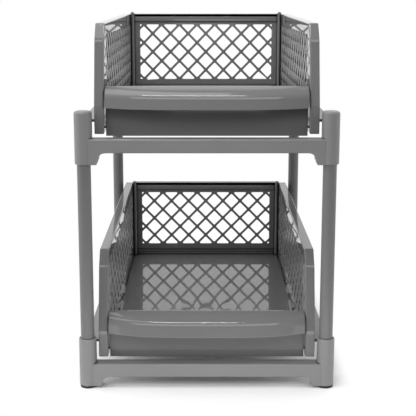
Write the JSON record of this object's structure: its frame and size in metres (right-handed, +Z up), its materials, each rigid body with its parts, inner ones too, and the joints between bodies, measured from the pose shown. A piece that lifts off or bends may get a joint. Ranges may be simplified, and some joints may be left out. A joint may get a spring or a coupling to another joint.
{
  "type": "two-tier sliding basket organizer",
  "caption": "Free-standing tube and crossbar stand with an open-fronted lattice basket on each tier; each basket slides forward on side rails by its curved pull lip",
  "frame": {"origin": "middle of the bounding box at the level of the foot pads' undersides, on the surface the stand rests on", "axes": "+X to the right seen from the front, +Y to the rear (the baskets pull out towards -Y), +Z up"},
  "size_m": [0.2372, 0.3462, 0.3396],
  "materials": {
    "stand_plastic": "semi-gloss moulded grey",
    "post_tube": "grey powder coat",
    "basket_plastic": "glossy moulded grey",
    "pad_rubber": "matt black"
  },
  "bodies": {
    "frame": {"lower_front_bar": "stand_plastic", "lower_rear_bar": "stand_plastic", "upper_front_bar": "stand_plastic", "upper_rear_bar": "stand_plastic", "post_front_left": "post_tube", "post_front_right": "post_tube", "post_rear_left": "post_tube", "post_rear_right": "post_tube", "pad_front_left": "pad_rubber", "pad_front_right": "pad_rubber", "pad_rear_left": "pad_rubber", "pad_rear_right": "pad_rubber", "lower_left_rail": "stand_plastic", "lower_right_rail": "stand_plastic", "upper_left_rail": "stand_plastic", "upper_right_rail": "stand_plastic"},
    "lower_basket": {"lower_floor": "basket_plastic", "lower_left_side": "basket_plastic", "lower_right_side": "basket_plastic", "lower_back": "basket_plastic", "lower_front": "basket_plastic", "lower_left_pin": "basket_plastic", "lower_right_pin": "basket_plastic"},
    "upper_basket": {"upper_floor": "basket_plastic", "upper_left_side": "basket_plastic", "upper_right_side": "basket_plastic", "upper_back": "basket_plastic", "upper_front": "basket_plastic", "upper_left_pin": "basket_plastic", "upper_right_pin": "basket_plastic"}
  },
  "joints": [
    {"name": "lower_basket_slide", "type": "slide", "parent": "frame", "child": "lower_basket", "axis": [0, -1, 0], "range_m": [0, 0.2]},
    {"name": "upper_basket_slide", "type": "slide", "parent": "frame", "child": "upper_basket", "axis": [0, -1, 0], "range_m": [0, 0.2]}
  ]
}
